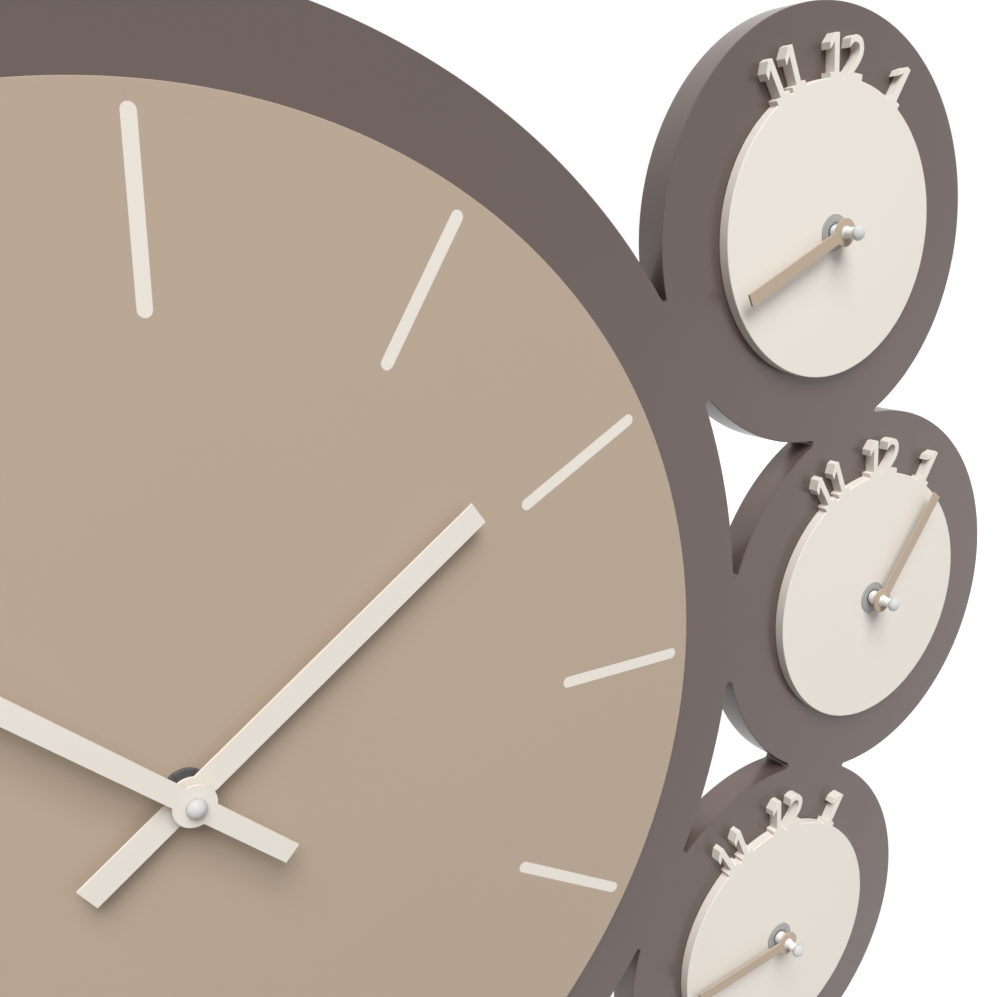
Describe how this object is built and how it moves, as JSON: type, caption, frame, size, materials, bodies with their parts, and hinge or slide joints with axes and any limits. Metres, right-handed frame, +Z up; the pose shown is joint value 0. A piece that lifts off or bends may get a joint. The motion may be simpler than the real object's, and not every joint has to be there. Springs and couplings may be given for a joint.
{
  "type": "world time clock",
  "caption": "Wall clock with a large round dial and a column of small zone dials on one board, each dial with its own battery movement, setting knob and strip hands.",
  "frame": {"origin": "centre of the round entry hole of the keyhole hanger above the main dial, at the back face of that hanger plate", "axes": "+X to the right as seen from the front, +Y towards the wall, +Z up; the dials face -Y"},
  "size_m": [0.628, 0.0387, 0.4922],
  "materials": {
    "board_brown": "matt brown lacquer on fibreboard",
    "dial_tan": "matt tan lacquer on fibreboard",
    "cream": "matt cream lacquer",
    "hand_cream": "matt cream paint on thin aluminium",
    "hand_tan": "matt tan paint on thin aluminium",
    "shaft_steel": "bright turned metal",
    "nut_steel": "turned steel with a fine circular grain",
    "zinc_steel": "zinc-plated steel",
    "felt_rubber": "soft matt rubber",
    "movement_black": "moulded black plastic",
    "motor_grey": "moulded grey plastic",
    "coil_copper": "enamelled copper wire on a bobbin",
    "circuit_green": "green circuit board",
    "cell_grey": "plain satin cell sleeve",
    "wheel_white": "moulded natural acetal",
    "knob_white": "moulded natural acetal"
  },
  "bodies": {
    "clock": {"back_plate": "board_brown", "main_dial": "dial_tan", "hour_bars": "cream", "upper_dial": "cream", "middle_dial": "cream", "lower_dial": "cream", "hanger_plates": "zinc_steel", "hanger_screws": "zinc_steel", "wall_pads": "felt_rubber", "fixing_nuts": "nut_steel", "battery_contacts": "zinc_steel", "main_case": "movement_black", "main_cover": "movement_black", "main_motor": "motor_grey", "main_coil": "coil_copper", "main_circuit": "circuit_green", "main_battery": "cell_grey", "upper_movement": "movement_black", "middle_movement": "movement_black", "lower_movement": "movement_black", "upper_battery": "cell_grey", "middle_battery": "cell_grey", "lower_battery": "cell_grey"},
    "main_minute": {"main_arbor": "shaft_steel", "main_minute_hand": "hand_cream", "main_cap": "shaft_steel"},
    "main_hour": {"main_hour_wheel": "shaft_steel", "main_hour_hand": "hand_cream"},
    "main_setting": {"main_minute_wheel": "wheel_white", "main_setting_knob": "knob_white"},
    "main_drive": {"main_motor_pinion": "shaft_steel"},
    "upper_minute": {"upper_shaft": "shaft_steel", "upper_cap": "shaft_steel"},
    "upper_hour": {"upper_tube": "shaft_steel", "upper_hand": "hand_tan"},
    "upper_setting": {"upper_knob": "knob_white"},
    "middle_minute": {"middle_shaft": "shaft_steel", "middle_cap": "shaft_steel"},
    "middle_hour": {"middle_tube": "shaft_steel", "middle_hand": "hand_tan"},
    "middle_setting": {"middle_knob": "knob_white"},
    "lower_minute": {"lower_shaft": "shaft_steel", "lower_cap": "shaft_steel"},
    "lower_hour": {"lower_tube": "shaft_steel", "lower_hand": "hand_tan"},
    "lower_setting": {"lower_knob": "knob_white"}
  },
  "joints": [
    {"name": "main_minute_turn", "type": "hinge", "parent": "clock", "child": "main_minute", "pos_m": [0, -0.0195, -0.15], "axis": [0, 1, 0], "continuous": true},
    {"name": "main_hour_turn", "type": "hinge", "parent": "clock", "child": "main_hour", "pos_m": [0, -0.0195, -0.15], "axis": [0, 1, 0], "continuous": true},
    {"name": "main_setting_turn", "type": "hinge", "parent": "clock", "child": "main_setting", "pos_m": [0.006, -0.0195, -0.13961], "axis": [0, 1, 0], "continuous": true},
    {"name": "main_drive_turn", "type": "hinge", "parent": "clock", "child": "main_drive", "pos_m": [-0.00873, -0.0195, -0.14496], "axis": [0, 1, 0], "continuous": true},
    {"name": "upper_minute_turn", "type": "hinge", "parent": "clock", "child": "upper_minute", "pos_m": [0.26829, -0.0195, 0.01121], "axis": [0, 1, 0], "continuous": true},
    {"name": "upper_hour_turn", "type": "hinge", "parent": "clock", "child": "upper_hour", "pos_m": [0.26829, -0.0195, 0.01121], "axis": [0, 1, 0], "continuous": true},
    {"name": "upper_setting_turn", "type": "hinge", "parent": "clock", "child": "upper_setting", "pos_m": [0.27429, -0.0195, 0.0216], "axis": [0, 1, 0], "continuous": true},
    {"name": "middle_minute_turn", "type": "hinge", "parent": "clock", "child": "middle_minute", "pos_m": [0.313, -0.0195, -0.15], "axis": [0, 1, 0], "continuous": true},
    {"name": "middle_hour_turn", "type": "hinge", "parent": "clock", "child": "middle_hour", "pos_m": [0.313, -0.0195, -0.15], "axis": [0, 1, 0], "continuous": true},
    {"name": "middle_setting_turn", "type": "hinge", "parent": "clock", "child": "middle_setting", "pos_m": [0.319, -0.0195, -0.13961], "axis": [0, 1, 0], "continuous": true},
    {"name": "lower_minute_turn", "type": "hinge", "parent": "clock", "child": "lower_minute", "pos_m": [0.26829, -0.0195, -0.31121], "axis": [0, 1, 0], "continuous": true},
    {"name": "lower_hour_turn", "type": "hinge", "parent": "clock", "child": "lower_hour", "pos_m": [0.26829, -0.0195, -0.31121], "axis": [0, 1, 0], "continuous": true},
    {"name": "lower_setting_turn", "type": "hinge", "parent": "clock", "child": "lower_setting", "pos_m": [0.27429, -0.0195, -0.30081], "axis": [0, 1, 0], "continuous": true}
  ],
  "couplings": [
    {"joint": "main_hour_turn", "follows": "main_minute_turn", "ratio": 0.083333},
    {"joint": "main_setting_turn", "follows": "main_minute_turn", "ratio": -0.33333},
    {"joint": "main_drive_turn", "follows": "main_minute_turn", "ratio": -6},
    {"joint": "upper_hour_turn", "follows": "upper_minute_turn", "ratio": 0.083333},
    {"joint": "upper_setting_turn", "follows": "upper_minute_turn", "ratio": -0.33333},
    {"joint": "middle_hour_turn", "follows": "middle_minute_turn", "ratio": 0.083333},
    {"joint": "middle_setting_turn", "follows": "middle_minute_turn", "ratio": -0.33333},
    {"joint": "lower_hour_turn", "follows": "lower_minute_turn", "ratio": 0.083333},
    {"joint": "lower_setting_turn", "follows": "lower_minute_turn", "ratio": -0.33333}
  ]
}
